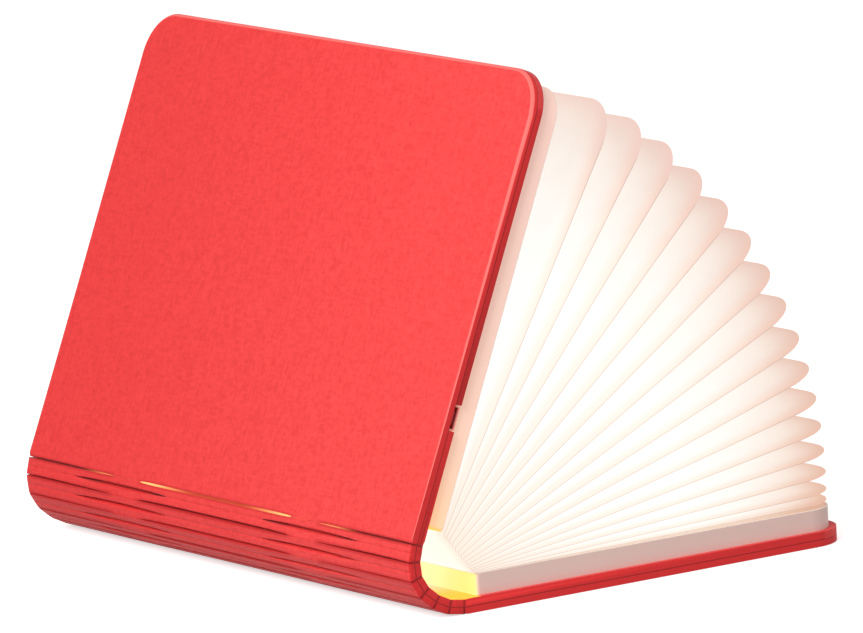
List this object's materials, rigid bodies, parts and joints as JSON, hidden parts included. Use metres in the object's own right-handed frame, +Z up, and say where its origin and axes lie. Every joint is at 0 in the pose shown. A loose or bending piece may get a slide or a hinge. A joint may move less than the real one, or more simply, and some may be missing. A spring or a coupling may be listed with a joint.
{
  "type": "folding book lamp",
  "caption": "Book-shaped folding lamp: stiff covers on a slatted, flexible spine, translucent pages fanning open around an LED strip at the hub, and a charging socket in the front cover's edge.",
  "frame": {"origin": "middle of the back cover's underside", "axes": "+X across the back cover from the spine to its fore edge, +Y along the spine from tail (the charging edge) to head, +Z up"},
  "size_m": [0.1675, 0.215, 0.1614],
  "materials": {
    "red_book_cloth": "matt woven book cloth",
    "red_lining": "matt woven lining",
    "white_plastic": "satin, translucent white",
    "endpaper": "matt, translucent",
    "page_paper": "matt, translucent",
    "bright_steel": "bright",
    "magnet_plating": "nickel plated",
    "circuit_board": "solder mask",
    "black_plastic": "matt",
    "battery_foil": "foil pouch",
    "lead_rubber": "insulation",
    "ribbon_film": "amber film",
    "led_yellow": "phosphor",
    "diffuser": "frosted, translucent"
  },
  "bodies": {
    "back_half": {"back_outer_board": "red_book_cloth", "back_inner_board": "red_lining", "back_tray": "white_plastic", "back_lid": "white_plastic", "back_lid_screws": "bright_steel", "back_magnets": "magnet_plating", "switch_magnet": "magnet_plating", "back_endpaper": "endpaper"},
    "slat_1": {"spine_slat_1": "red_book_cloth"},
    "slat_2": {"spine_slat_2": "red_book_cloth"},
    "slat_3": {"spine_slat_3": "red_book_cloth"},
    "slat_4": {"spine_slat_4": "red_book_cloth", "led_strip_board": "white_plastic", "led_packages": "led_yellow", "led_diffuser": "diffuser"},
    "slat_5": {"spine_slat_5": "red_book_cloth", "ribbon_on_slat_5": "ribbon_film"},
    "slat_6": {"spine_slat_6": "red_book_cloth", "ribbon_on_slat_6": "ribbon_film"},
    "front_half": {"front_outer_board": "red_book_cloth", "front_inner_board": "red_lining", "front_tray": "white_plastic", "front_lid": "white_plastic", "front_lid_screws": "bright_steel", "front_magnets": "magnet_plating", "front_endpaper": "endpaper", "charging_board": "circuit_board", "board_parts": "black_plastic", "hall_sensor": "black_plastic", "usb_shell": "bright_steel", "usb_tongue": "black_plastic", "battery_cell": "battery_foil", "battery_leads": "lead_rubber", "ribbon_in_tray": "ribbon_film"},
    "page_01": {"page_01": "page_paper"},
    "page_02": {"page_02": "page_paper"},
    "page_03": {"page_03": "page_paper"},
    "page_04": {"page_04": "page_paper"},
    "page_05": {"page_05": "page_paper"},
    "page_06": {"page_06": "page_paper"},
    "page_07": {"page_07": "page_paper"},
    "page_08": {"page_08": "page_paper"},
    "page_09": {"page_09": "page_paper"},
    "page_10": {"page_10": "page_paper"},
    "page_11": {"page_11": "page_paper"},
    "page_12": {"page_12": "page_paper"},
    "page_13": {"page_13": "page_paper"},
    "page_14": {"page_14": "page_paper"},
    "page_15": {"page_15": "page_paper"},
    "page_16": {"page_16": "page_paper"}
  },
  "joints": [
    {"name": "fold_1", "type": "hinge", "parent": "back_half", "child": "slat_1", "pos_m": [-0.074, 0, 0.0023], "axis": [0, -1, 0], "range_deg": [-9.64, 41.79]},
    {"name": "fold_2", "type": "hinge", "parent": "slat_1", "child": "slat_2", "pos_m": [-0.07924, 0, 0.00308], "axis": [0, -1, 0], "range_deg": [-9.64, 41.79]},
    {"name": "fold_3", "type": "hinge", "parent": "slat_2", "child": "slat_3", "pos_m": [-0.084, 0, 0.00541], "axis": [0, -1, 0], "range_deg": [-9.64, 41.79]},
    {"name": "fold_4", "type": "hinge", "parent": "slat_3", "child": "slat_4", "pos_m": [-0.08807, 0, 0.00881], "axis": [0, -1, 0], "range_deg": [-9.64, 41.79]},
    {"name": "fold_5", "type": "hinge", "parent": "slat_4", "child": "slat_5", "pos_m": [-0.0908, 0, 0.01336], "axis": [0, -1, 0], "range_deg": [-9.64, 41.79]},
    {"name": "fold_6", "type": "hinge", "parent": "slat_5", "child": "slat_6", "pos_m": [-0.0913, 0, 0.01863], "axis": [0, -1, 0], "range_deg": [-9.64, 41.79]},
    {"name": "fold_7", "type": "hinge", "parent": "slat_6", "child": "front_half", "pos_m": [-0.08998, 0, 0.02376], "axis": [0, -1, 0], "range_deg": [-9.64, 41.79]},
    {"name": "page_turn_01", "type": "hinge", "parent": "slat_5", "child": "page_01", "pos_m": [-0.09456, 0, 0.02188], "axis": [0, -1, 0], "range_deg": [-11.21, 48.49]},
    {"name": "page_turn_02", "type": "hinge", "parent": "slat_4", "child": "page_02", "pos_m": [-0.09431, 0, 0.01867], "axis": [0, -1, 0], "range_deg": [-15.32, 66.31]},
    {"name": "page_turn_03", "type": "hinge", "parent": "slat_4", "child": "page_03", "pos_m": [-0.09723, 0, 0.02028], "axis": [0, -1, 0], "range_deg": [-9.96, 43.08]},
    {"name": "page_turn_04", "type": "hinge", "parent": "slat_3", "child": "page_04", "pos_m": [-0.09317, 0, 0.01632], "axis": [0, -1, 0], "range_deg": [-14.41, 62.38]},
    {"name": "page_turn_05", "type": "hinge", "parent": "slat_2", "child": "page_05", "pos_m": [-0.08873, 0, 0.01246], "axis": [0, -1, 0], "range_deg": [-19.05, 82.48]},
    {"name": "page_turn_06", "type": "hinge", "parent": "slat_2", "child": "page_06", "pos_m": [-0.08881, 0, 0.01385], "axis": [0, -1, 0], "range_deg": [-14.24, 61.62]},
    {"name": "page_turn_07", "type": "hinge", "parent": "slat_1", "child": "page_07", "pos_m": [-0.08345, 0, 0.00997], "axis": [0, -1, 0], "range_deg": [-19.27, 83.43]},
    {"name": "page_turn_08", "type": "hinge", "parent": "slat_1", "child": "page_08", "pos_m": [-0.08294, 0, 0.01088], "axis": [0, -1, 0], "range_deg": [-14.87, 64.39]},
    {"name": "page_turn_09", "type": "hinge", "parent": "slat_1", "child": "page_09", "pos_m": [-0.08203, 0, 0.01208], "axis": [0, -1, 0], "range_deg": [-10.71, 46.34]},
    {"name": "page_turn_10", "type": "hinge", "parent": "back_half", "child": "page_10", "pos_m": [-0.07687, 0, 0.00791], "axis": [0, -1, 0], "range_deg": [-16.44, 71.16]},
    {"name": "page_turn_11", "type": "hinge", "parent": "back_half", "child": "page_11", "pos_m": [-0.07588, 0, 0.00808], "axis": [0, -1, 0], "range_deg": [-12.79, 55.37]},
    {"name": "page_turn_12", "type": "hinge", "parent": "back_half", "child": "page_12", "pos_m": [-0.07448, 0, 0.00813], "axis": [0, -1, 0], "range_deg": [-9.45, 40.89]},
    {"name": "page_turn_13", "type": "hinge", "parent": "back_half", "child": "page_13", "pos_m": [-0.07434, 0, 0.00844], "axis": [0, -1, 0], "range_deg": [-6.45, 27.89]},
    {"name": "page_turn_14", "type": "hinge", "parent": "back_half", "child": "page_14", "pos_m": [-0.07422, 0, 0.0087], "axis": [0, -1, 0], "range_deg": [-3.86, 16.66]},
    {"name": "page_turn_15", "type": "hinge", "parent": "back_half", "child": "page_15", "pos_m": [-0.0741, 0, 0.00891], "axis": [0, -1, 0], "range_deg": [-1.78, 7.67]},
    {"name": "page_turn_16", "type": "hinge", "parent": "back_half", "child": "page_16", "pos_m": [-0.07403, 0, 0.00904], "axis": [0, -1, 0], "range_deg": [-0.56, 2.36]}
  ],
  "couplings": [
    {"joint": "fold_2", "follows": "fold_1", "ratio": 1},
    {"joint": "fold_3", "follows": "fold_1", "ratio": 1},
    {"joint": "fold_4", "follows": "fold_1", "ratio": 1},
    {"joint": "fold_5", "follows": "fold_1", "ratio": 1},
    {"joint": "fold_6", "follows": "fold_1", "ratio": 1},
    {"joint": "fold_7", "follows": "fold_1", "ratio": 1},
    {"joint": "page_turn_01", "follows": "fold_1", "ratio": 1.16},
    {"joint": "page_turn_02", "follows": "fold_1", "ratio": 1.5865},
    {"joint": "page_turn_03", "follows": "fold_1", "ratio": 1.0304},
    {"joint": "page_turn_04", "follows": "fold_1", "ratio": 1.4924},
    {"joint": "page_turn_05", "follows": "fold_1", "ratio": 1.9734},
    {"joint": "page_turn_06", "follows": "fold_1", "ratio": 1.4743},
    {"joint": "page_turn_07", "follows": "fold_1", "ratio": 1.9962},
    {"joint": "page_turn_08", "follows": "fold_1", "ratio": 1.5404},
    {"joint": "page_turn_09", "follows": "fold_1", "ratio": 1.1086},
    {"joint": "page_turn_10", "follows": "fold_1", "ratio": 1.7025},
    {"joint": "page_turn_11", "follows": "fold_1", "ratio": 1.3246},
    {"joint": "page_turn_12", "follows": "fold_1", "ratio": 0.97804},
    {"joint": "page_turn_13", "follows": "fold_1", "ratio": 0.66707},
    {"joint": "page_turn_14", "follows": "fold_1", "ratio": 0.3982},
    {"joint": "page_turn_15", "follows": "fold_1", "ratio": 0.183},
    {"joint": "page_turn_16", "follows": "fold_1", "ratio": 0.056}
  ]
}
